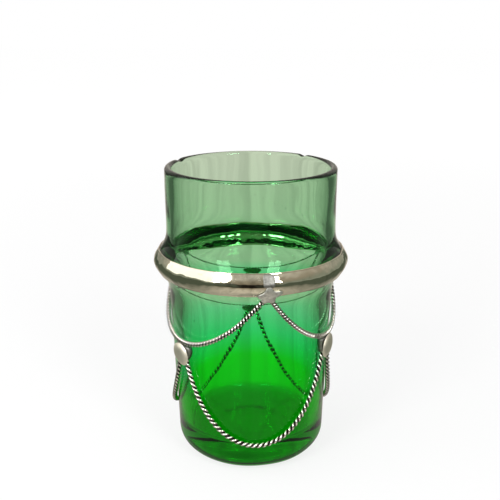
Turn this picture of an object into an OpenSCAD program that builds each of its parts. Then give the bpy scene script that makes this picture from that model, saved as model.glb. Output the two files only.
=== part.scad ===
// Tea glass: a green tumbler with a raised ring, and a soldered metal mount round it.
// Millimetres, +Z up. The origin is the middle of the foot, on the table.
// Angles round the glass start at the front (-Y) and grow towards +X.

/* [Glass] */
// Height of the glass, foot to rim
glass_h = 95; // [88:0.5:110]
// Outer radius of the rim
rim_r = 27; // [25.5:0.1:29]
// Outer radius of the wall at the raised ring
body_r = 26.7; // [25.5:0.1:28]
// Outer radius of the wall above the base's round corner
base_r = 24.2; // [22.5:0.1:26]
// Radius of the base's outer corner
base_corner = 7; // [5:0.5:9]
// Thickness of the wall at the rim
rim_wall = 2.2; // [1.8:0.1:2.8]
// Thickness of the wall at the raised ring, without the ring
body_wall = 2.7; // [2.2:0.1:3.2]
// Thickness of the wall just above the floor
base_wall = 3.6; // [2.8:0.1:4.5]
// Thickness of the floor
floor_t = 9; // [5:0.5:11]
// Radius of the inside corner at the floor
floor_corner = 2.5; // [2:0.5:8]
// Depth of the hollow under the base
punt_depth = 0.8; // [0.3:0.1:2]
// Width of the flat ring that the glass stands on
foot_w = 4; // [2:0.5:8]

/* [Raised ring] */
// Height of the middle of the ring above the table
ring_z = 65.2; // [58:0.5:72]
// How far the ring stands out of the wall
ring_out = 3.85; // [3:0.1:5]
// Depth of the groove that the ring leaves inside
ring_in = 1.7; // [0.4:0.1:2.4]
// How far the ring's flanks spread up and down
ring_spread = 4.8; // [4:0.1:5.5]
// How far the groove inside spreads up and down
groove_spread = 6.5; // [5:0.1:7.5]

/* [Band] */
// Height of the metal band over the ring
band_h = 6.8; // [6:0.1:8.5]
// Thickness of the band's sheet
band_t = 0.5; // [0.3:0.05:0.8]
// Clearance between the band and the glass
band_gap = 0.05; // [0.02:0.01:0.15]
// Gap between the two ends of the strip that makes the band
seam_gap = 0.1; // [0.05:0.05:0.4]
// Width of the solder over the seam
seam_w = 3.5; // [2:0.1:4]
// Thickness of the solder over the seam
seam_t = 0.35; // [0.2:0.05:0.5]

/* [Lugs] */
// Angle of each solder lug round the glass
lug_angles = [10, 114, 244]; // [0:1:360]
// Width of a lug between the tips of its side arms
lug_w = 7; // [5:0.1:8]
// Height of a lug above the band's lower edge
lug_rise = 3; // [2:0.1:3.8]
// Depth of a lug below the band's lower edge
lug_drop = 2.2; // [1.6:0.1:2.8]
// Thickness of the solder over the wires
lug_cover = 0.4; // [0.2:0.05:0.8]

/* [Wires] */
// Diameter of a twisted wire
wire_d = 1.75; // [1.4:0.05:2]
// Clearance between the wires and the glass
wire_gap = 0.15; // [0.12:0.01:0.3]
// Clearance round a wire's end in its solder
socket_gap = 0.05; // [0.02:0.01:0.08]
// Length of an upper wire's straight end in its lug
upper_tail = 1; // [0.7:0.1:1.2]
// How far each upper wire lies from its lug's middle
upper_spread = 1.5; // [1.2:0.1:1.8]
// How full an upper swag hangs, from a flat curve to a deep one
upper_fullness = 0.55; // [0.3:0.05:0.8]
// Length of a lower wire's straight end behind its cap
lower_tail = 1.8; // [1:0.1:2.2]
// How far each lower wire lies from its boss's middle
lower_spread = 1.8; // [1.3:0.1:2.1]
// How full a lower swag hangs, from a flat curve to a deep one
lower_fullness = 0.92; // [0.6:0.02:0.94]
// Height of the lower swags' lowest point above the table
lower_low_z = 11; // [10:0.5:20]

/* [Bosses] */
// Height of each boss's middle above the table
boss_zs = [40.9, 40.1, 39.4]; // [36:0.1:44]
// How far a boss's middle lies below the middle of its upper wire
boss_hang = 2.8; // [2.2:0.1:3.6]
// Radius of a boss's cap
boss_r = 3.8; // [3.5:0.1:4.6]
// Height of a cap's dome
dome_h = 0.9; // [0.7:0.1:1.6]
// Thickness of a cap's sheet
cap_t = 0.4; // [0.25:0.05:0.6]
// How far the solder behind a cap stays inside the cap's edge
solder_inset = 0.2; // [0.1:0.05:0.4]

/* [Hidden] */
$fn = 96;

// Steps along the round stretches of the outlines and along the wires
arc_steps = 12;
ring_steps = 20;
band_steps = 16;
lug_steps = 8;
wire_rings = 36;
wire_sides = 10;
// The ring's flanks are followed to this distance, where they have died out
ring_reach = 2.6 * ring_spread;
// How far a shape that is cut to an outline runs past it
margin = 1;
// Step along a swag for its direction, and the least step between two heights
small_step = 0.01;

band_bottom = ring_z - band_h / 2;
band_top = ring_z + band_h / 2;
lug_bottom = band_bottom - lug_drop;
lug_top = band_bottom + lug_rise;
punt_r = base_r - base_corner - foot_w;
bore_bottom = floor_t + floor_corner;
outer_lean = atan((body_r - base_r) / (ring_z - base_corner));
inner_lean = atan((body_r - body_wall - base_r + base_wall) / (ring_z - bore_bottom));
dome_r = (boss_r * boss_r + dome_h * dome_h) / (2 * dome_h);
puck_r = boss_r - solder_inset;
puck_edge = sqrt(puck_r * puck_r - lower_spread * lower_spread);
puck_top = boss_hang - wire_d / 2 - socket_gap;

function mix(a, b, t) = a + (b - a) * t;
function arc(centre, r, from, to) = [
    for (k = [0:arc_steps])
        let (a = mix(from, to, k / arc_steps))
        centre + r * [cos(a), sin(a)]
];

// The glass: straight walls that lean, and a ring whose flanks run out softly
function swell(z, spread) = exp(-pow((z - ring_z) / spread, 2));
function wall_r(z) = z < ring_z
    ? mix(base_r, body_r, (z - base_corner) / (ring_z - base_corner))
    : mix(body_r, rim_r, (z - ring_z) / (glass_h - ring_z));
function bore_r(z) = z < ring_z
    ? mix(base_r - base_wall, body_r - body_wall, (z - bore_bottom) / (ring_z - bore_bottom))
    : mix(body_r - body_wall, rim_r - rim_wall, (z - ring_z) / (glass_h - ring_z));
function outer_r(z) = wall_r(z) + ring_out * swell(z, ring_spread);
function inner_r(z) = bore_r(z) + ring_in * swell(z, groove_spread);

module glass_tumbler() {
    ring_zs = [for (k = [-ring_steps:ring_steps]) ring_z + ring_reach * k / ring_steps];
    base_centre = [base_r - base_corner, base_corner];
    rim_centre = [rim_r - rim_wall / 2, glass_h - rim_wall / 2];
    floor_centre = [base_r - base_wall - floor_corner, bore_bottom];
    last = len(ring_zs) - 1;
    color("forestgreen", 0.6)
        rotate_extrude()
            polygon(concat(
                [[0, punt_depth], [punt_r, 0]],
                arc(base_centre, base_corner, -90, -outer_lean),
                [for (z = ring_zs) [outer_r(z), z]],
                arc(rim_centre, rim_wall / 2, 0, 180),
                [for (k = [last:-1:0]) [inner_r(ring_zs[k]), ring_zs[k]]],
                arc(floor_centre, floor_corner, -inner_lean, -90),
                [[0, floor_t]]
            ));
}

// The band: a strip of sheet burnished over the ring, its two ends butted at the front lug
function band_out_r(z) = outer_r(z) + band_gap + band_t;
function heights(from, to, steps) = [for (k = [0:steps]) mix(from, to, k / steps)];
band_zs = heights(band_bottom, band_top, band_steps);
seam_zs = concat([lug_top], [for (z = band_zs) if (z > lug_top + small_step) z]);

// A layer of metal between two distances from the band's outer face, along some heights
module band_layer(zs, from, to) {
    polygon(concat(
        [for (z = zs) [band_out_r(z) + to, z]],
        [for (k = [len(zs) - 1:-1:0]) [band_out_r(zs[k]) + from, zs[k]]]
    ));
}

// Turns what its child makes at the front to an angle round the glass
module at_angle(angle) {
    rotate([0, 0, angle]) children();
}

// A slice of a turned section, as wide as an arc of that width at the ring's crest
module slice(width) {
    degrees = width / band_out_r(ring_z) * 180 / PI;
    rotate([0, 0, -90 - degrees / 2]) rotate_extrude(angle = degrees) children();
}

module metal_band() {
    degrees = seam_gap / band_out_r(ring_z) * 180 / PI;
    color("tan")
        at_angle(lug_angles[0])
            rotate([0, 0, -90 + degrees / 2])
                rotate_extrude(angle = 360 - degrees) band_layer(band_zs, -band_t, 0);
}

module seam_solder() {
    color("gray") at_angle(lug_angles[0]) slice(seam_w) band_layer(seam_zs, 0, seam_t);
}

// The swags: each wire hangs along the glass from one soldered end to the next
function lug_angle(i) = lug_angles[i % 3] + 360 * floor(i / 3);
function boss_angle(i) = (lug_angle(i) + lug_angle(i + 1)) / 2;
function boss_z(i) = boss_zs[i % 3];
function upper_low_z(i) = boss_z(i) + boss_hang;
function lower_end_z(i) = boss_z(i) - puck_edge;
function wire_r(z) = outer_r(z) + wire_gap + wire_d / 2;
function turn_for(width, z) = width / wire_r(z) * 180 / PI;
function around(angle, r, z) = [r * sin(angle), -r * cos(angle), z];
function unit(v) = v / norm(v);

// A swag is [first angle, last angle, heights of its ends, lowest height, fullness, straight end]
function upper_swag(i) = [
    lug_angle(i) + turn_for(upper_spread, lug_bottom),
    lug_angle(i + 1) - turn_for(upper_spread, lug_bottom),
    [lug_bottom, lug_bottom], upper_low_z(i), upper_fullness, upper_tail
];
function lower_swag(i) = [
    boss_angle(i) + turn_for(lower_spread, lower_end_z(i)),
    boss_angle(i + 1) - turn_for(lower_spread, lower_end_z(i + 1)),
    [lower_end_z(i), lower_end_z(i + 1)], lower_low_z, lower_fullness, lower_tail
];
// Along a swag, s is -1 at its first end, 0 at its lowest point and 1 at its last end
function sag(s, fullness) = 1 - sqrt(1 - pow(s * fullness, 2));
function swag_angle(w, s) = mix(w[0], w[1], (s + 1) / 2);
function swag_end_z(w, s) = s < 0 ? w[2][0] : w[2][1];
function swag_z(w, s) = mix(w[3], swag_end_z(w, s), sag(s, w[4]) / sag(1, w[4]));
function swag_point(w, s) = around(swag_angle(w, s), wire_r(swag_z(w, s)), swag_z(w, s));
function swag_along(w, s) = unit(swag_point(w, s + small_step) - swag_point(w, s - small_step));
function swag_ring(w, s, shift) =
    let (along = swag_along(w, s))
    let (across = unit(cross(along, around(swag_angle(w, s), 1, 0))))
    let (out = cross(across, along))
    [for (k = [0:wire_sides - 1])
        let (a = 360 * k / wire_sides)
        swag_point(w, s) + along * shift + (across * cos(a) + out * sin(a)) * wire_d / 2];

module swag_wire(w) {
    bent = [for (j = [0:wire_rings]) each swag_ring(w, mix(-1, 1, j / wire_rings), 0)];
    points = concat(swag_ring(w, -1, -w[5]), bent, swag_ring(w, 1, w[5]));
    rings = wire_rings + 2;
    sides = [for (j = [0:rings - 1], k = [0:wire_sides - 1])
        let (a = j * wire_sides + k, b = j * wire_sides + (k + 1) % wire_sides)
        each [[a, a + wire_sides, b], [b, a + wire_sides, b + wire_sides]]];
    end = rings * wire_sides;
    first_cap = [for (k = [1:wire_sides - 2]) [0, k, k + 1]];
    last_cap = [for (k = [1:wire_sides - 2]) [end, end + k + 1, end + k]];
    color("silver") polyhedron(points, concat(sides, first_cap, last_cap));
}

// The straight hole that a wire's first end (s = -1) or last end (s = 1) takes in its solder
module socket(w, s) {
    way = s * swag_along(w, s);
    translate(swag_point(w, s) - way * margin)
        rotate([0, acos(way[2]), atan2(way[1], way[0])])
            cylinder(r = wire_d / 2 + socket_gap, h = margin + w[5] + socket_gap);
}

// A lug: a splash of solder over the band's lower edge that holds the ends of two upper wires
module lug_outline() {
    arm = lug_w / 2;
    lobe_r = wire_d / 2 + lug_cover;
    union() {
        circle(r = lug_drop - lug_cover);
        polygon([[-arm, lobe_r], [0, -lug_cover], [arm, lobe_r], [0, lug_rise]]);
        for (side = [-1, 1]) translate([side * upper_spread, lobe_r - lug_drop]) circle(r = lobe_r);
    }
}

// How far a lug's face stands off the glass: over the wires at its foot, over the band at its top
function lug_face(z) = mix(
    wire_gap + wire_d + lug_cover, band_gap + band_t + lug_cover, (z - lug_bottom) / (lug_top - lug_bottom));

module lug_section() {
    low = heights(lug_bottom - margin, band_bottom, lug_steps);
    high = heights(band_bottom, lug_top + margin, lug_steps);
    face = heights(lug_top + margin, lug_bottom - margin, 2 * lug_steps);
    polygon(concat(
        [for (z = face) [outer_r(z) + lug_face(z), z]],
        [for (z = low) [outer_r(z) + wire_gap, z]],
        [for (z = high) [band_out_r(z), z]]
    ));
}

module lug(i) {
    color("darkgray")
        difference() {
            at_angle(lug_angle(i))
                intersection() {
                    slice(2 * lug_w) lug_section();
                    translate([0, 0, band_bottom])
                        rotate([90, 0, 0]) linear_extrude(2 * body_r) lug_outline();
                }
            socket(upper_swag(i), -1);
            socket(upper_swag(i + 2), 1);
        }
}

// A boss: a domed cap over an upper wire, on a puck of solder that holds two lower wires' ends
module at_boss(i) {
    at_angle(boss_angle(i))
        translate([0, -outer_r(boss_z(i)), boss_z(i)])
            rotate([90 + outer_lean, 0, 0])
                translate([0, 0, wire_gap]) children();
}

// The part of a ball that stands above the cap's edge
module dome(r) {
    translate([0, 0, wire_d])
        intersection() {
            translate([0, 0, dome_h - dome_r]) sphere(r = r);
            cylinder(r = 2 * boss_r, h = 2 * dome_h);
        }
}

module boss_cap(i) {
    color("tan")
        at_boss(i)
            difference() {
                dome(dome_r);
                dome(dome_r - cap_t);
            }
}

// The puck is round, with its top cut flat under the upper wire
module boss_puck() {
    intersection() {
        cylinder(r = puck_r, h = wire_d);
        translate([-puck_r - margin, -puck_r - margin, -margin])
            cube([2 * (puck_r + margin), puck_r + margin + puck_top, wire_d + 2 * margin]);
    }
}

module boss_solder(i) {
    color("darkgray")
        difference() {
            at_boss(i) boss_puck();
            socket(lower_swag(i), -1);
            socket(lower_swag(i + 2), 1);
        }
}

glass_tumbler();
metal_band();
seam_solder();
lug(0);  // lug_front
lug(1);  // lug_right
lug(2);  // lug_left
swag_wire(upper_swag(0));  // upper_swag_right
swag_wire(upper_swag(1));  // upper_swag_back
swag_wire(upper_swag(2));  // upper_swag_left
boss_solder(0);  // boss_solder_right
boss_solder(1);  // boss_solder_back
boss_solder(2);  // boss_solder_left
boss_cap(0);  // boss_cap_right
boss_cap(1);  // boss_cap_back
boss_cap(2);  // boss_cap_left
swag_wire(lower_swag(0));  // lower_swag_right
swag_wire(lower_swag(1));  // lower_swag_left
swag_wire(lower_swag(2));  // lower_swag_front
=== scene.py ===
import bisect
import math
import bmesh
import bpy
from mathutils import Matrix, Vector, noise


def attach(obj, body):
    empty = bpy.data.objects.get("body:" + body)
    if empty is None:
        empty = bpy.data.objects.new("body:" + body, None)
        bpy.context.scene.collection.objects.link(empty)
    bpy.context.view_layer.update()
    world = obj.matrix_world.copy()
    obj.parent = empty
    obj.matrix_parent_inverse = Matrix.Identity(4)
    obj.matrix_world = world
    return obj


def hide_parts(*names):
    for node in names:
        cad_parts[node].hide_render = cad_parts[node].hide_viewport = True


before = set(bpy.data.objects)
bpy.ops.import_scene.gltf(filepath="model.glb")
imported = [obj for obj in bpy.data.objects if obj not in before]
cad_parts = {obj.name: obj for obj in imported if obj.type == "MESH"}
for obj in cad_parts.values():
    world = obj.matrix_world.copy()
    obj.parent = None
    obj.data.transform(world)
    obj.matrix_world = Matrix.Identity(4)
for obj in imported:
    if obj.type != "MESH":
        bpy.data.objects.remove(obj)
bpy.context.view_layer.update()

# The tumbler: thick green glass, blown into a mould that leaves a raised ring below the mouth.
# The foot is heavy and rounded, the rim is fire polished and has two nicks, and the wall is a
# little uneven, with small bubbles, called seeds, left in it.
MM = 0.001
glass_height = 95 * MM
rim_radius = 27 * MM
body_radius = 26.7 * MM
base_radius = 24.2 * MM
base_corner = 7 * MM
rim_wall = 2.2 * MM
body_wall = 2.7 * MM
base_wall = 3.6 * MM
floor_thickness = 9 * MM
floor_corner = 2.5 * MM
bore_bottom = floor_thickness + floor_corner
foot_flat = base_radius - base_corner
foot_width = 4 * MM
punt_radius = foot_flat - foot_width
punt_depth = 0.8 * MM
ring_height = 65.2 * MM
ring_out = 3.85 * MM
ring_in = 1.7 * MM
ring_spread = 4.8 * MM
groove_spread = 6.5 * MM
rim_round = rim_wall / 2
rim_middle = rim_radius - rim_round
wall_lean = math.atan((body_radius - base_radius) / (ring_height - base_corner))
corner_clear = 1 * MM
glass_turns = 288
outside_steps = 90
inside_steps = 80
corner_steps = 16
rim_steps = 14
punt_steps = 8
bottom_steps = 6
merge_distance = 0.001 * MM
wall_ripple = 0.14 * MM
ripple_size = 11 * MM
# Each nick: its turn round the rim in degrees, its width and its depth
nicks = [(137, 1.0 * MM, 0.8 * MM), (245, 1.5 * MM, 0.7 * MM)]
# The seeds are spread by steps that never line up, and most of them are small
seeds = 70
seed_turn = 137.5
seed_height_step = 0.618
seed_depth_step = 0.37
seed_size_step = 0.773
seed_sizes = [0.10 * MM, 0.34 * MM]
seed_depths = [0.3, 0.7]
seed_rarity = 4
seed_above_bore = 2 * MM
seed_below_rim = 3 * MM
# Each tint with its height up the glass: deep green in the heavy foot, pale above the ring. The deep green
# low down is partly the heavy glass and partly painted light, the green light that the glass throws on the
# table behind it, seen again through the wall.
glass_tints_and_green_light = [
    (0.00, (0.02, 0.78, 0.01)),
    (0.22, (0.02, 0.92, 0.02)),
    (0.32, (0.11, 0.98, 0.44)),
    (0.42, (0.33, 0.99, 0.68)),
    (0.56, (0.74, 0.94, 0.79)),
    (1.00, (0.83, 0.93, 0.84)),
]
glass_depth_green = (0.20, 0.82, 0.36, 1)
glass_reflection_green = (0.25, 0.60, 0.32, 1)


# The value that lies a share t of the way from a to b
def mix(a, b, t):
    return a + (b - a) * t


# How much of the ring's bulge there is at a height
def swell(z, spread):
    return math.exp(-((z - ring_height) / spread) ** 2)


# The radius of the glass at a height, outside
def outer_radius(z):
    if z < ring_height:
        wall = mix(base_radius, body_radius, (z - base_corner) / (ring_height - base_corner))
    else:
        wall = mix(body_radius, rim_radius, (z - ring_height) / (glass_height - ring_height))
    return wall + ring_out * swell(z, ring_spread)


# The radius of the glass at a height, inside
def inner_radius(z):
    base_bore = base_radius - base_wall
    body_bore = body_radius - body_wall
    rim_bore = rim_radius - rim_wall
    if z < ring_height:
        wall = mix(base_bore, body_bore, (z - bore_bottom) / (ring_height - bore_bottom))
    else:
        wall = mix(body_bore, rim_bore, (z - ring_height) / (glass_height - ring_height))
    return wall + ring_in * swell(z, groove_spread)


# Evenly spaced values, with both ends
def even_values(low, high, steps):
    return [mix(low, high, k / steps) for k in range(steps + 1)]


# Points on an arc of an outline, between two turns in degrees
def arc(centre, radius, first, last, steps):
    turns = [math.radians(a) for a in even_values(first, last, steps)]
    return [(centre[0] + radius * math.cos(a), centre[1] + radius * math.sin(a)) for a in turns]


# The point at a turn in degrees round the glass, counted from the front towards +X
def around(turn, radius, z):
    angle = math.radians(turn)
    return Vector((radius * math.sin(angle), -radius * math.cos(angle), z))


# Makes a finished mesh into a piece of the part
def make_piece(name, bm, material):
    for face in bm.faces:
        face.smooth = True
    mesh = bpy.data.meshes.new(name)
    bm.to_mesh(mesh)
    bm.free()
    piece = bpy.data.objects.new(name, mesh)
    bpy.context.collection.objects.link(piece)
    mesh.materials.append(material)
    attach(piece, "root")
    return piece


# Turns an outline of radii and heights round the upright axis
def spin_outline(bm, outline, turns):
    corners = [bm.verts.new((r, 0, z)) for r, z in outline]
    edges = [bm.edges.new(pair) for pair in zip(corners, corners[1:])]
    bmesh.ops.spin(
        bm, geom=corners + edges, axis=(0, 0, 1), cent=(0, 0, 0), angle=math.tau, steps=turns,
        use_merge=True)
    bmesh.ops.remove_doubles(bm, verts=bm.verts, dist=merge_distance)
    bmesh.ops.recalc_face_normals(bm, faces=bm.faces)


# Sets a node's inputs, each to a value or to another node's output
def fill_inputs(tree, node, inputs):
    for key, value in inputs.items():
        if isinstance(value, bpy.types.NodeSocket):
            tree.links.new(value, node.inputs[key])
        else:
            node.inputs[key].default_value = value


def add_node(tree, kind, inputs=None, **settings):
    node = tree.nodes.new(kind)
    for key, value in settings.items():
        setattr(node, key, value)
    fill_inputs(tree, node, inputs or {})
    return node


# A material with its tree, its shader and the coordinates of the object
def new_material(name):
    material = bpy.data.materials.new(name)
    material.use_nodes = True
    tree = material.node_tree
    place = add_node(tree, "ShaderNodeTexCoord").outputs["Object"]
    return material, tree, tree.nodes["Principled BSDF"], place


# Colours by stops along a factor
def ramp(tree, factor, stops):
    node = add_node(tree, "ShaderNodeValToRGB", {"Fac": factor})
    while len(node.color_ramp.elements) < len(stops):
        node.color_ramp.elements.new(0.5)
    for element, (place, colour) in zip(node.color_ramp.elements, stops):
        element.position = place
        element.color = (*colour, 1)
    return node.outputs["Color"]


# A value that goes from first to last while another goes from low to high
def fade(tree, value, low, high, first=0.0, last=1.0):
    return add_node(tree, "ShaderNodeMapRange", {
        "Value": value, "From Min": low, "From Max": high, "To Min": first, "To Max": last,
    }).outputs["Result"]


# Cloudy noise, from 0 to 1
def mottle(tree, place, scale, detail, roughness=0.5):
    return add_node(tree, "ShaderNodeTexNoise", {
        "Vector": place, "Scale": scale, "Detail": detail, "Roughness": roughness,
    }).outputs["Fac"]


def bumped(tree, height, strength, distance):
    return add_node(tree, "ShaderNodeBump", {
        "Height": height, "Strength": strength, "Distance": distance}).outputs["Normal"]


# Clear glass, tinted by height with its own green and with painted green light, with faint upright streaks
def green_glass():
    material, tree, shader, place = new_material("green_glass")
    split = add_node(tree, "ShaderNodeSeparateXYZ", {"Vector": place})
    level = fade(tree, split.outputs["Z"], 0.0, glass_height)
    drawn = add_node(tree, "ShaderNodeMapping", {"Vector": place, "Scale": (1, 1, 0.15)})
    streaks = mottle(tree, drawn.outputs["Vector"], 110, 2)
    fill_inputs(tree, shader, {
        "Base Color": ramp(tree, level, glass_tints_and_green_light),
        "Transmission Weight": 1,
        "Roughness": 0.0,
        "IOR": 1.5,
        "Specular Tint": glass_reflection_green,
        "Normal": bumped(tree, streaks, 0.16, 0.5 * MM),
    })
    depth = add_node(tree, "ShaderNodeVolumeAbsorption", {"Color": glass_depth_green, "Density": 120.0})
    tree.links.new(depth.outputs["Volume"], tree.nodes["Material Output"].inputs["Volume"])
    return material


# The outline from the middle underneath, up the outside, over the rim and down to the middle inside
def tumbler_outline():
    lean = math.degrees(wall_lean)
    wall_top = glass_height - rim_wall
    punt_radii = even_values(0, punt_radius, punt_steps)
    punt = [(r, punt_depth * (1 - (r / punt_radius) ** 2)) for r in punt_radii]
    corner = arc((foot_flat, base_corner), base_corner, -90, -lean, corner_steps)
    levels_up = even_values(base_corner + corner_clear, wall_top, outside_steps)
    outside = [(outer_radius(z), z) for z in levels_up]
    rim = arc((rim_middle, glass_height - rim_round), rim_round, 0, 180, rim_steps)
    levels_down = even_values(wall_top, bore_bottom + corner_clear, inside_steps)
    inside = [(inner_radius(z), z) for z in levels_down]
    floor_edge = base_radius - base_wall - floor_corner
    floor = arc((floor_edge, bore_bottom), floor_corner, -lean, -90, corner_steps)
    bottom = [(r, floor_thickness) for r in even_values(floor[-1][0], 0, bottom_steps)[1:]]
    return punt + corner + outside + rim + inside + floor + bottom


bm = bmesh.new()
spin_outline(bm, tumbler_outline(), glass_turns)
for vert in bm.verts:
    wave = noise.noise(vert.co / ripple_size)
    away = Vector((vert.co.x, vert.co.y, 0))
    for turn, width, depth in nicks:
        gap = (vert.co - around(turn, rim_middle, glass_height)).length / width
        vert.co.z -= depth * math.exp(-gap ** 2)
    vert.co += away.normalized() * wave * wall_ripple
for k in range(seeds):
    z = mix(bore_bottom + seed_above_bore, glass_height - seed_below_rim, k * seed_height_step % 1)
    depth = mix(*seed_depths, k * seed_depth_step % 1)
    middle = around(k * seed_turn, mix(inner_radius(z), outer_radius(z), depth), z)
    size = mix(*seed_sizes, (k * seed_size_step % 1) ** seed_rarity)
    bubble = bmesh.ops.create_icosphere(bm, subdivisions=2, radius=size, matrix=Matrix.Translation(middle))
    skin = {face for vert in bubble["verts"] for face in vert.link_faces}
    bmesh.ops.reverse_faces(bm, faces=list(skin))
tumbler = make_piece("tumbler", bm, green_glass())
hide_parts("glass_tumbler")

# The band: a strip of white metal, nickel silver, burnished over the glass ring with a round tool.
# It is polished, but thin enough to show the dents and waves of the hand work.
band_height = 6.8 * MM
band_sheet = 0.5 * MM
band_gap = 0.05 * MM
band_bottom = ring_height - band_height / 2
band_top = ring_height + band_height / 2
band_turns = 420
band_steps = 40
lip_steps = 6
dent_depth = 0.16 * MM
dent_size = 5 * MM
dent_inward = 0.3
# Each wave of dents: its share of the depth, and how many times finer than dent_size it is
dent_waves = [(1.0, 1.0), (0.5, 2.3), (0.15, 5.1)]
silver = (0.69, 0.66, 0.52)
polished = 0.03
tarnish_shade = 0.62
tarnish_haze = 0.06


# The radius of the band's face at a height
def band_face(z):
    return outer_radius(z) + band_gap + band_sheet


# White metal, duller and darker where it is tarnished
def white_metal(name, colour, roughness):
    material, tree, shader, place = new_material(name)
    stain = mottle(tree, place, 140, 6, 0.6)
    dull = [c * tarnish_shade for c in colour]
    rub = mottle(tree, place, 700, 3)
    fill_inputs(tree, shader, {
        "Base Color": ramp(tree, stain, [(0.30, dull), (0.48, colour), (1.0, colour)]),
        "Roughness": fade(tree, stain, 0.3, 0.7, roughness + tarnish_haze, roughness),
        "Metallic": 1,
        "Normal": bumped(tree, rub, 0.08, 0.1 * MM),
    })
    return material


# The strip's section, with a round lip at both edges
def band_outline():
    levels = even_values(band_bottom, band_top, band_steps)
    lip = band_sheet / 2
    out = [(band_face(z), z) for z in levels]
    back = [(band_face(z) - band_sheet, z) for z in reversed(levels)]
    top_lip = arc((band_face(band_top) - lip, band_top), lip, 0, 180, lip_steps)[1:-1]
    bottom_lip = arc((band_face(band_bottom) - lip, band_bottom), lip, 180, 360, lip_steps)[1:-1]
    loop = out + top_lip + back + bottom_lip
    return loop + loop[:1]


bm = bmesh.new()
spin_outline(bm, band_outline(), band_turns)
for vert in bm.verts:
    dent = sum(share * noise.noise(vert.co / dent_size * finer) for share, finer in dent_waves)
    away = Vector((vert.co.x, vert.co.y, 0))
    vert.co += away.normalized() * (dent - dent_inward) * dent_depth
band = make_piece("band", bm, white_metal("polished_white_metal", silver, polished))
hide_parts("metal_band")

# The seam and the lugs: soft solder, run on with an iron and left as it froze, lumpy and dull.
# One strip closes the band's ends at the front, and a splash at each lug holds two wires' ends.
lug_turns = [10, 114, 244]
lug_rise = 3 * MM
lug_drop = 2.2 * MM
lug_cover = 0.4 * MM
wire_width = 1.75 * MM
wire_gap = 0.15 * MM
seam_width = 3.5 * MM
seam_height = 0.35 * MM
seam_squareness = 5
solder_sink = 0.1 * MM
lump_size = 1.3 * MM
lump_depth = 0.16 * MM
# A splash is a small blot with arms, each given by its direction in degrees and its length
blot_radius = 2.2
lug_arms = [(18, 4.3), (90, 3.6), (178, 3.3), (238, 2.9), (306, 3.2)]
arm_spread = 22
# How bright the solder is along its grain, with a little less blue than red and green
solder_lights = [(0.30, 0.65), (0.50, 0.95), (0.75, 1.1)]
solder_blue = 0.92
too_small = 1e-9


# Dull grey metal with a fine grain
def solder_metal(name, shade):
    material, tree, shader, place = new_material(name)
    grain = mottle(tree, place, 900, 5)
    tints = [
        (level, [shade * part for part in (light, light, solder_blue * light)])
        for level, light in solder_lights]
    fill_inputs(tree, shader, {
        "Base Color": ramp(tree, grain, tints),
        "Metallic": 1,
        "Roughness": fade(tree, grain, 0.0, 1.0, 0.60, 0.40),
        "Normal": bumped(tree, grain, 0.25, 0.15 * MM),
    })
    return material


# A patch of solder from a ball, spread to an outline and laid between two radii at a turn
def solder_patch(name, turn, middle_z, outline, under, over, roundness, lumps, solder):
    bm = bmesh.new()
    bmesh.ops.create_uvsphere(bm, u_segments=64, v_segments=32, radius=1)
    for vert in bm.verts:
        spread = math.hypot(vert.co.x, vert.co.y)
        reach = outline(math.atan2(vert.co.y, vert.co.x)) * spread
        side = reach * vert.co.x / max(spread, too_small)
        z = middle_z + reach * vert.co.y / max(spread, too_small)
        rise = max(vert.co.z, 0) ** roundness
        radius = mix(under(z), over(z), rise)
        spot = around(turn + math.degrees(side / radius), radius, z)
        radius += rise * lumps * noise.noise(spot / lump_size)
        vert.co = around(turn + math.degrees(side / radius), radius, z)
    bmesh.ops.recalc_face_normals(bm, faces=bm.faces)
    return make_piece(name, bm, solder)


def seam_outline(angle):
    half_width = seam_width / 2
    half_height = (band_top - band_bottom - lug_rise) / 2
    across = abs(math.cos(angle) / half_width) ** seam_squareness
    along = abs(math.sin(angle) / half_height) ** seam_squareness
    return (across + along) ** (-1 / seam_squareness)


def seam_under(z):
    return band_face(z) - solder_sink


def seam_over(z):
    return band_face(z) + seam_height


def lug_outline(angle):
    reach = blot_radius
    for direction, length in lug_arms:
        off = (math.degrees(angle) - direction + 180) % 360 - 180
        reach += (length - blot_radius) * math.exp(-(off / arm_spread) ** 2)
    return reach * MM


def lug_under(z):
    if z > band_bottom:
        return band_face(z) - solder_sink
    return outer_radius(z) + wire_gap


def lug_over(z):
    level = (z - band_bottom + lug_drop) / (lug_rise + lug_drop)
    on_wire = wire_gap + wire_width + lug_cover
    on_band = band_gap + band_sheet + lug_cover
    return outer_radius(z) + mix(on_wire, on_band, level)


grey_solder = solder_metal("grey_solder", 0.72)
# The seam and the pucks get a darker copy of the same solder: painted shade
painted_shade_solder = solder_metal("painted_shade_solder", 0.30)
seam = solder_patch(
    "seam", lug_turns[0], (band_bottom + lug_rise + band_top) / 2, seam_outline, seam_under, seam_over,
    roundness=0.5, lumps=lump_depth / 2, solder=painted_shade_solder)
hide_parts("seam_solder")
for place, turn in zip(("front", "right", "left"), lug_turns):
    lug = solder_patch(
        "lug_splash_" + place, turn, band_bottom, lug_outline, lug_under, lug_over,
        roundness=0.35, lumps=lump_depth, solder=grey_solder)
    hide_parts("lug_" + place)

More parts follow.
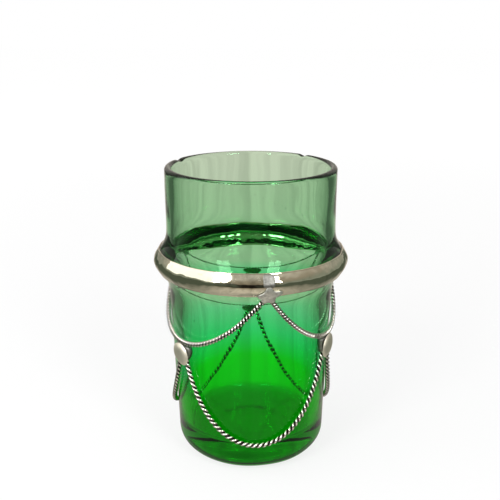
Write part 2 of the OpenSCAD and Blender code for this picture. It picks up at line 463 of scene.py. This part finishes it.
# The swags: two strands of white-metal wire twisted into a rope and bent along the glass.
# Each rope's ends are soldered, the upper ones in the lugs and the lower ones behind the bosses.
# The upper wires are more tarnished than the lower ones.
boss_heights = [40.9 * MM, 40.1 * MM, 39.4 * MM]
boss_hang = 2.8 * MM
boss_radius = 3.8 * MM
solder_inset = 0.2 * MM
puck_radius = boss_radius - solder_inset
upper_end = band_bottom - lug_drop
upper_tail = 1 * MM
upper_spread = 1.5 * MM
upper_fullness = 0.55
upper_lay = 2.4 * MM
lower_tail = 1.8 * MM
lower_spread = 1.8 * MM
lower_fullness = 0.92
lower_low = 11 * MM
lower_lay = 3.4 * MM
lower_drop = math.sqrt(puck_radius ** 2 - lower_spread ** 2)
strand_radius = 0.30 * wire_width
strand_shift = wire_width / 2 - strand_radius
strand_sides = 14
strand_merge = 0.002 * MM
rings_per_lay = 14
fine_steps = 500
wire_silver = (0.88, 0.86, 0.80)
side_step = 0.13
silver_step = 0.30


# The lugs and the bosses are counted on past one turn, each boss midway between two lugs
def lug_turn(i):
    return lug_turns[i % 3] + 360 * (i // 3)


def boss_turn(i):
    return (lug_turn(i) + lug_turn(i + 1)) / 2


# The radius of a wire's middle at a height
def wire_radius(z):
    return outer_radius(z) + wire_gap + wire_width / 2


# The curve of a swag, like part of an ellipse
def sag(s, fullness):
    return 1 - math.sqrt(1 - (s * fullness) ** 2)


# The line of a swag along the glass, with a straight tail at each end for the solder
def swag_line(first, last, spread, ends, low, fullness, tail):
    first += math.degrees(spread / wire_radius(ends[0]))
    last -= math.degrees(spread / wire_radius(ends[1]))
    line = []
    for k in range(fine_steps + 1):
        s = mix(-1, 1, k / fine_steps)
        z = mix(low, ends[0] if s < 0 else ends[1], sag(s, fullness) / sag(1, fullness))
        line.append(around(mix(first, last, (s + 1) / 2), wire_radius(z), z))
    line.insert(0, line[0] + (line[0] - line[1]).normalized() * tail)
    line.append(line[-1] + (line[-1] - line[-2]).normalized() * tail)
    return line


# The same line with evenly spaced points
def even_line(line, spacing):
    ways = [0]
    for a, b in zip(line, line[1:]):
        ways.append(ways[-1] + (b - a).length)
    count = round(ways[-1] / spacing)
    points = []
    for way in even_values(0, ways[-1], count):
        k = min(max(bisect.bisect_right(ways, way) - 1, 0), len(line) - 2)
        points.append(line[k].lerp(line[k + 1], (way - ways[k]) / (ways[k + 1] - ways[k])))
    return points


# One strand: a sheet rolled up and wound round the line, with how far out each point lies
def twisted_strand(name, line, lay, start, material):
    points = even_line(line, lay / rings_per_lay)
    rings = len(points) - 1
    bm = bmesh.new()
    bmesh.ops.create_grid(bm, x_segments=rings, y_segments=strand_sides, size=1)
    hollow = bm.verts.layers.float.new("hollow")
    for vert in bm.verts:
        k = round((vert.co.x + 1) / 2 * rings)
        around_strand = (vert.co.y + 1) * math.pi
        along = (points[min(k + 1, rings)] - points[max(k - 1, 0)]).normalized()
        out = Vector((points[k].x, points[k].y, 0)).normalized()
        across = along.cross(out).normalized()
        out = across.cross(along)
        phase = start + math.tau * k / rings_per_lay
        spoke = across * math.cos(phase) + out * math.sin(phase)
        side = across * -math.sin(phase) + out * math.cos(phase)
        apart = max(0, strand_shift + strand_radius * math.cos(around_strand))
        offset = spoke * apart + side * strand_radius * math.sin(around_strand)
        vert[hollow] = offset.length / (wire_width / 2)
        vert.co = points[k] + offset
    bmesh.ops.remove_doubles(bm, verts=bm.verts, dist=strand_merge)
    bmesh.ops.holes_fill(bm, edges=bm.edges, sides=strand_sides)
    bmesh.ops.recalc_face_normals(bm, faces=bm.faces)
    return make_piece(name, bm, material)


# A rope of two strands, half a turn apart
def twisted_rope(node, line, lay, material):
    for number, start in ((1, 0), (2, math.pi)):
        strand = twisted_strand(f"{node}_strand_{number}", line, lay, start, material)
        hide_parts(node)


def reckon(tree, operation, *values):
    return add_node(tree, "ShaderNodeMath", dict(enumerate(values)), operation=operation).outputs["Value"]


# Bright wire, darker in the gaps between the strands: partly dirt and partly painted shade
def wire_metal(name, gap_until, gap, side):
    material, tree, shader, place = new_material(name)
    deep = add_node(tree, "ShaderNodeAttribute", attribute_name="hollow").outputs["Fac"]
    stain = mottle(tree, place, 300, 5)
    # The deeper a point lies between the strands, the darker it gets: dirt together with painted shade
    clean_and_unshaded = reckon(tree, "ADD", stain, fade(tree, deep, 0.66, 1.0, -0.25, 0.5))
    tints = [(gap_until, gap), (gap_until + side_step, side), (gap_until + silver_step, wire_silver)]
    fill_inputs(tree, shader, {"Base Color": ramp(tree, clean_and_unshaded, tints), "Metallic": 1, "Roughness": 0.18})
    return material


dark_rope = wire_metal("tarnished_wire", 0.42, (0.006, 0.005, 0.004), (0.20, 0.18, 0.15))
bright_rope = wire_metal("bright_wire", 0.38, (0.05, 0.046, 0.04), (0.36, 0.33, 0.28))
for i, place in enumerate(("right", "back", "left")):
    upper = swag_line(
        lug_turn(i), lug_turn(i + 1), upper_spread, [upper_end, upper_end],
        boss_heights[i] + boss_hang, upper_fullness, upper_tail)
    twisted_rope("upper_swag_" + place, upper, upper_lay, dark_rope)
for i, place in enumerate(("right", "left", "front")):
    ends = [boss_heights[i] - lower_drop, boss_heights[(i + 1) % 3] - lower_drop]
    lower = swag_line(
        boss_turn(i), boss_turn(i + 1), lower_spread, ends, lower_low, lower_fullness, lower_tail)
    twisted_rope("lower_swag_" + place, lower, lower_lay, bright_rope)

# The bosses: discs of sheet domed in a hollow block, each soldered over the ends of two lower wires.
# The puddle of solder behind a cap shows as a dark edge round it, close to the glass, darkened as painted
# shade.
# It stops below the upper wire, which passes behind the cap.
dome_height = 0.9 * MM
dome_flatness = 4
cap_sheet = 0.4 * MM
cap_steps = 20
cap_turns = 72
cap_oval = 0.05
cap_uneven = 0.03
hammer_depth = 0.12 * MM
hammer_size = 2.4 * MM
hammer_shift = 7
cap_silver = (0.92, 0.87, 0.74)
satin = 0.48
wire_clear = 0.05 * MM
puck_top = boss_hang - wire_width / 2 - wire_clear
# Each wave of the puddle's edge: its share of the radius, how many there are and where they start
puck_waves = [(0.05, 3, 1), (0.03, 5, 0)]


# The cap's section, flat in the middle and steep at the edge
def cap_outline():
    shares = [1 - t ** 2 for t in even_values(0, 1, cap_steps)]
    out = [(boss_radius * share, dome_height * (1 - share ** dome_flatness)) for share in shares]
    back = [(r, max(z - cap_sheet, 0)) for r, z in reversed(out[1:])]
    return out + back + out[:1]


def puck_outline(angle):
    waves = sum(share * math.sin(count * angle + start) for share, count, start in puck_waves)
    reach = puck_radius * (1 + waves)
    upward = math.sin(angle)
    if reach * upward > puck_top:
        reach = puck_top / upward
    return reach


def puck_under(z):
    return outer_radius(z) + wire_gap


def puck_over(z):
    return outer_radius(z) + wire_gap + wire_width


satin_metal = white_metal("satin_white_metal", cap_silver, satin)
for i, place in enumerate(("right", "back", "left")):
    bm = bmesh.new()
    spin_outline(bm, cap_outline(), cap_turns)
    for vert in bm.verts:
        mark = noise.noise(vert.co / hammer_size + Vector((i * hammer_shift, 0, 0)))
        edge = 1 + cap_oval * math.sin(2 * math.atan2(vert.co.y, vert.co.x) + i) + cap_uneven * mark
        vert.co.x *= edge
        vert.co.y *= edge
        vert.co.z += mark * hammer_depth
    stand = Matrix.Translation((0, 0, puck_over(boss_heights[i])))
    lift = Matrix.Translation((0, 0, boss_heights[i]))
    turn = Matrix.Rotation(math.radians(boss_turn(i)), 4, "Z")
    tilt = Matrix.Rotation(math.pi / 2 + wall_lean, 4, "X")
    bmesh.ops.transform(bm, matrix=lift @ turn @ tilt @ stand, verts=bm.verts)
    cap = make_piece("cap_" + place, bm, satin_metal)
    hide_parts("boss_cap_" + place)
    puck = solder_patch(
        "puck_" + place, boss_turn(i), boss_heights[i], puck_outline, puck_under, puck_over,
        roundness=0.25, lumps=0, solder=painted_shade_solder)
    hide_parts("boss_solder_" + place)

# The floor: a wide white sheet under the glass, which keeps the glass's soft shadow.
# The camera sees it white. Glass and metal see it as a warm table with soft folds, which is dark towards
# the camera and out to the sides, and has a painted shadow under the glass.
floor_size = 3.0
floor_white = (0.9, 0.9, 0.9, 1)
camera_distance = 0.250
table_front = -0.40
table_warm = (0.80, 0.73, 0.65)
# The stops from the front of the table to the glass, as metal sees them and as glass sees them
table_in_metal = [(0.66, (0.02, 0.016, 0.012)), (0.72, (0.44, 0.38, 0.29)), (0.82, table_warm)]
table_in_glass = [(0.66, (0.42, 0.37, 0.30)), (0.82, table_warm)]
fold_shades = [(0.35, (0.78, 0.78, 0.78)), (0.60, (1.0, 1.0, 1.0))]
side_colour = (0.10, 0.12, 0.09, 1)
painted_shadow_colour = (0.30, 0.30, 0.27, 1)
camera_share = 0.82


# One colour that goes over into another
def blend(tree, factor, low, high):
    return add_node(tree, "ShaderNodeMix", {0: factor, 6: low, 7: high}, data_type="RGBA").outputs[2]


bm = bmesh.new()
bmesh.ops.create_grid(bm, x_segments=1, y_segments=1, size=floor_size)
floor_mesh = bpy.data.meshes.new("floor")
bm.to_mesh(floor_mesh)
bm.free()
floor = bpy.data.objects.new("floor", floor_mesh)
bpy.context.collection.objects.link(floor)
material, tree, shader, place = new_material("white_floor")
fill_inputs(tree, shader, {"Base Color": floor_white, "Roughness": 0.9})
path = add_node(tree, "ShaderNodeLightPath").outputs
split = add_node(tree, "ShaderNodeSeparateXYZ", {"Vector": place}).outputs
depth = fade(tree, split["Y"], table_front, 0.0)
in_metal = ramp(tree, depth, table_in_metal)
in_glass = ramp(tree, depth, table_in_glass)
table = blend(tree, path["Is Transmission Ray"], in_metal, in_glass)
# The folds and the dark sides fan out from the camera
reach = reckon(tree, "ADD", reckon(tree, "ABSOLUTE", split["Y"]), camera_distance)
fan = reckon(tree, "DIVIDE", split["X"], reach)
folds = add_node(tree, "ShaderNodeTexNoise", {"W": fan, "Scale": 45, "Detail": 2}, noise_dimensions="1D")
shade = ramp(tree, folds.outputs["Fac"], fold_shades)
table = add_node(tree, "ShaderNodeMix", {
    0: 1.0, 6: table, 7: shade}, data_type="RGBA", blend_type="MULTIPLY").outputs[2]
near = fade(tree, split["Y"], 0.0, 0.2, 0.12, 0.0)
aside = reckon(tree, "ADD", reckon(tree, "ABSOLUTE", fan), near)
table = blend(tree, fade(tree, aside, 0.17, 0.42), table, side_colour)
away = add_node(tree, "ShaderNodeVectorMath", {0: place}, operation="LENGTH").outputs["Value"]
# A painted shadow: the table turns dim right under the glass
table = blend(tree, fade(tree, away, 0.022, 0.045), painted_shadow_colour, table)
# The camera sees an even white, a little brighter far away, where the lamps reach less
far_white = fade(tree, away, 0.1, 0.7, 0.95, 1.07)
seen = blend(tree, path["Is Camera Ray"], table, far_white)
glow = add_node(tree, "ShaderNodeEmission", {"Color": seen, "Strength": 1.0})
share = add_node(tree, "ShaderNodeMix", {0: path["Is Glossy Ray"], 2: 0.0, 3: 1.0}).outputs[0]
share = add_node(tree, "ShaderNodeMix", {0: path["Is Camera Ray"], 2: share, 3: camera_share}).outputs[0]
mixed = add_node(tree, "ShaderNodeMixShader", {
    "Fac": share, 1: shader.outputs["BSDF"], 2: glow.outputs["Emission"]})
tree.links.new(mixed.outputs["Shader"], tree.nodes["Material Output"].inputs["Surface"])
floor_mesh.materials.append(material)

# The room: an even soft light on everything, and plain white behind the glass for the camera.
# Metal sees brown walls that get paler towards the ceiling, and glass sees them in one brown.
# Both see a pale curtain in folds at the back, and dim sides.
white = (1, 1, 1, 1)
soft_light = (0.75, 0.75, 0.75, 1)
wall_colours = [
    (0.00, (0.02, 0.016, 0.012)),
    (0.12, (0.06, 0.05, 0.04)),
    (0.20, (0.30, 0.26, 0.20)),
    (0.55, (0.40, 0.36, 0.30)),
    (0.85, (0.85, 0.83, 0.78)),
]
wall_in_glass = (0.42, 0.38, 0.32, 1)
curtain_colours = [(0.35, (0.46, 0.41, 0.38)), (0.65, (0.78, 0.70, 0.65))]
room_side = (0.30, 0.33, 0.28, 1)
world = bpy.data.worlds.new("studio")
bpy.context.scene.world = world
world.use_nodes = True
tree = world.node_tree
path = add_node(tree, "ShaderNodeLightPath").outputs
way = add_node(tree, "ShaderNodeTexCoord").outputs["Generated"]
split = add_node(tree, "ShaderNodeSeparateXYZ", {"Vector": way}).outputs
room = ramp(tree, split["Z"], wall_colours)
room = blend(tree, path["Is Transmission Ray"], room, wall_in_glass)
upright = add_node(tree, "ShaderNodeMapping", {"Vector": way, "Scale": (5, 5, 1)}).outputs["Vector"]
curtain = ramp(tree, mottle(tree, upright, 2.0, 3), curtain_colours)
room = blend(tree, fade(tree, split["Y"], -0.2, 0.4), room, curtain)
aside = fade(tree, reckon(tree, "ABSOLUTE", split["X"]), 0.30, 0.75)
low = fade(tree, split["Z"], 0.1, 0.5, 1.0, 0.0)
room = blend(tree, reckon(tree, "MULTIPLY", aside, low), room, room_side)
lit = blend(tree, path["Is Glossy Ray"], soft_light, room)
lit = blend(tree, path["Is Camera Ray"], lit, white)
tree.links.new(lit, tree.nodes["Background"].inputs["Color"])

# The lights: a big window on the left, and two narrow panes on each side of the camera.
# They give the band its bright bars and the glass its soft shadow.
window_place = (-0.55, -0.14, 0.38)
window_aim = (0, 0, 0.06)
pane_turns = [-40, -31, 26, 35]
pane_away = 0.53
pane_height = 0.38
pane_aim = (0, 0, 0.07)


def softbox(name, place, aim, width, height, watts):
    lamp = bpy.data.lights.new(name, "AREA")
    lamp.shape = "RECTANGLE"
    lamp.size = width
    lamp.size_y = height
    lamp.energy = watts
    box = bpy.data.objects.new(name, lamp)
    box.location = place
    box.rotation_euler = (Vector(aim) - Vector(place)).to_track_quat("-Z", "Y").to_euler()
    bpy.context.collection.objects.link(box)


softbox("window_left", window_place, window_aim, width=0.85, height=0.46, watts=1.7)
for number, turn in enumerate(pane_turns):
    pane_place = around(turn, pane_away, pane_height)
    softbox(f"pane_{number}", pane_place, pane_aim, width=0.075, height=0.34, watts=1.0)

# The camera: a short telephoto, a quarter of a metre in front of the glass's middle.
# It stands a little above the rim and looks down at the glass.
camera_height = 0.14104
camera_down = 17.22
camera = bpy.data.objects.new("camera", bpy.data.cameras.new("camera"))
camera.data.lens = 58.28
camera.data.sensor_width = 36
camera.data.shift_x = -0.0016
camera.data.shift_y = 0.0218
camera.data.clip_start = 0.01
camera.location = (0, -camera_distance, camera_height)
camera.rotation_euler = (math.radians(90 - camera_down), 0, 0)
bpy.context.collection.objects.link(camera)
bpy.context.scene.camera = camera
bpy.context.scene.view_settings.view_transform = "Standard"
